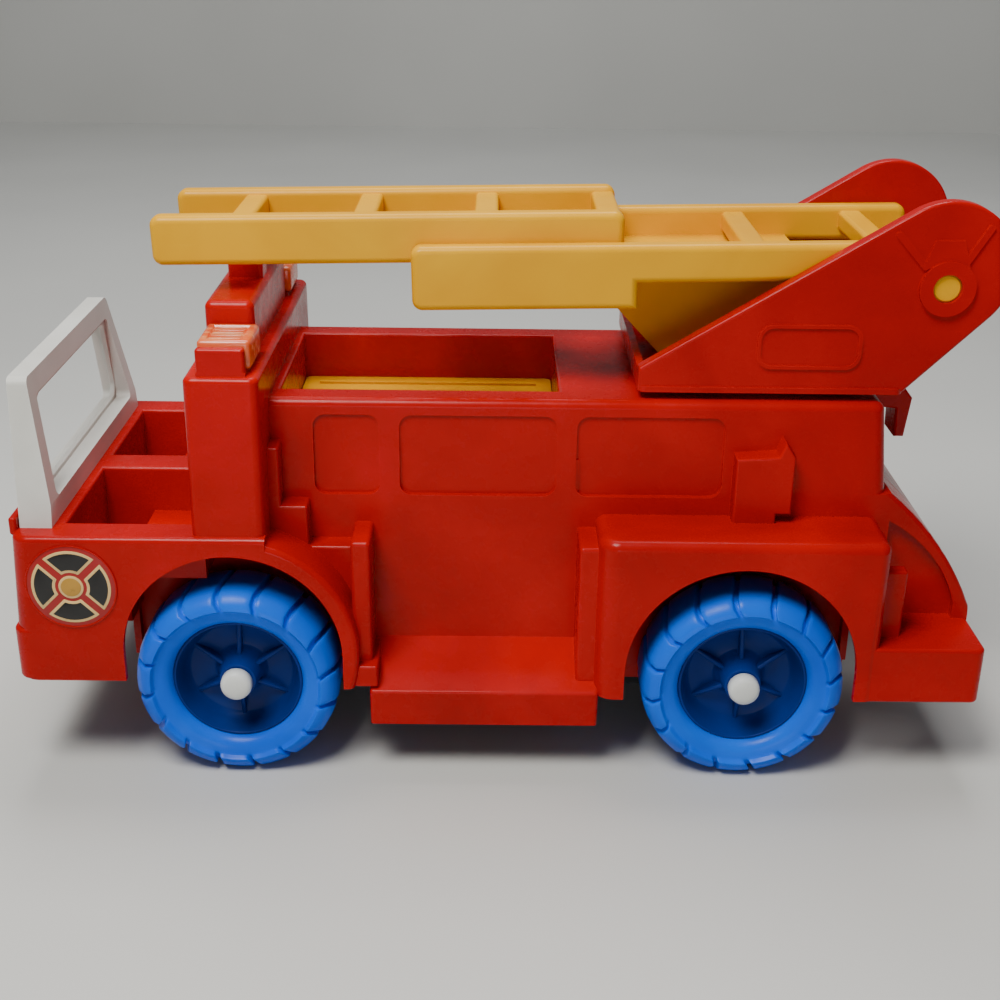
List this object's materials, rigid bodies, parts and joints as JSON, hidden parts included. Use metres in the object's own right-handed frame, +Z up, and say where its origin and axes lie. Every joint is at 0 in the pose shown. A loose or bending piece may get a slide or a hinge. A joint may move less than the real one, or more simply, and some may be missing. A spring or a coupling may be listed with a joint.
{
  "type": "toy fire engine",
  "caption": "Toy fire engine with two open seats, a windscreen frame, an open bed and a swivelling turntable whose ladder rises and extends.",
  "frame": {"origin": "on the floor, under the middle of the object's length and width", "axes": "+Z up, -X towards the front of the truck, -Y towards its left side"},
  "size_m": [0.325, 0.137, 0.195],
  "materials": {
    "body_red": "glossy injection-moulded polypropylene, red",
    "ladder_yellow": "semi-gloss moulded polyethylene, yellow",
    "frame_white": "semi-gloss moulded plastic, white",
    "tyre_blue": "soft blow-moulded plastic, bright blue",
    "hub_navy": "semi-gloss moulded plastic, dark blue",
    "cap_white": "glossy moulded plastic, white",
    "lamp_amber": "translucent pale amber plastic",
    "badge": "printed badge, black, cream and gold",
    "chassis_black": "matt moulded plastic, black",
    "steel": "zinc-plated steel"
  },
  "bodies": {
    "body": {"body_shell": "body_red", "chassis_plate": "chassis_black", "chassis_screws": "steel", "windscreen_frame": "frame_white", "bed_tray": "ladder_yellow", "lamp_lens_left": "lamp_amber", "lamp_lens_right": "lamp_amber", "badge_left": "badge", "badge_right": "badge"},
    "turntable": {"turntable": "body_red", "turntable_retainer": "chassis_black", "turntable_screw": "steel", "ladder_pin": "ladder_yellow"},
    "main_ladder": {"main_ladder": "ladder_yellow"},
    "extension_ladder": {"extension_ladder": "ladder_yellow"},
    "front_axle": {"front_axle": "steel", "axle_cap_front_left": "cap_white", "axle_cap_front_right": "cap_white"},
    "wheel_front_left": {"tyre_front_left": "tyre_blue", "hub_front_left": "hub_navy"},
    "wheel_front_right": {"tyre_front_right": "tyre_blue", "hub_front_right": "hub_navy"},
    "rear_axle": {"rear_axle": "steel", "axle_cap_rear_left": "cap_white", "axle_cap_rear_right": "cap_white"},
    "wheel_rear_left": {"tyre_rear_left": "tyre_blue", "hub_rear_left": "hub_navy"},
    "wheel_rear_right": {"tyre_rear_right": "tyre_blue", "hub_rear_right": "hub_navy"}
  },
  "joints": [
    {"name": "turntable_swivel", "type": "hinge", "parent": "body", "child": "turntable", "pos_m": [0.085, 0, 0.129], "axis": [0, 0, 1], "continuous": true},
    {"name": "ladder_raise", "type": "hinge", "parent": "turntable", "child": "main_ladder", "pos_m": [0.141, 0, 0.1674], "axis": [0, 1, 0], "range_deg": [0, 70]},
    {"name": "ladder_extend", "type": "slide", "parent": "main_ladder", "child": "extension_ladder", "axis": [-0.9998, 0, -0.0209], "range_m": [-0.018, 0.045]},
    {"name": "front_axle_spin", "type": "hinge", "parent": "body", "child": "front_axle", "pos_m": [-0.0895, 0, 0.0345], "axis": [0, 1, 0], "continuous": true},
    {"name": "wheel_front_left_spin", "type": "hinge", "parent": "front_axle", "child": "wheel_front_left", "pos_m": [-0.0895, -0.055, 0.0345], "axis": [0, 1, 0], "continuous": true},
    {"name": "wheel_front_right_spin", "type": "hinge", "parent": "front_axle", "child": "wheel_front_right", "pos_m": [-0.0895, 0.055, 0.0345], "axis": [0, 1, 0], "continuous": true},
    {"name": "rear_axle_spin", "type": "hinge", "parent": "body", "child": "rear_axle", "pos_m": [0.0825, 0, 0.0345], "axis": [0, 1, 0], "continuous": true},
    {"name": "wheel_rear_left_spin", "type": "hinge", "parent": "rear_axle", "child": "wheel_rear_left", "pos_m": [0.0825, -0.055, 0.0345], "axis": [0, 1, 0], "continuous": true},
    {"name": "wheel_rear_right_spin", "type": "hinge", "parent": "rear_axle", "child": "wheel_rear_right", "pos_m": [0.0825, 0.055, 0.0345], "axis": [0, 1, 0], "continuous": true}
  ]
}
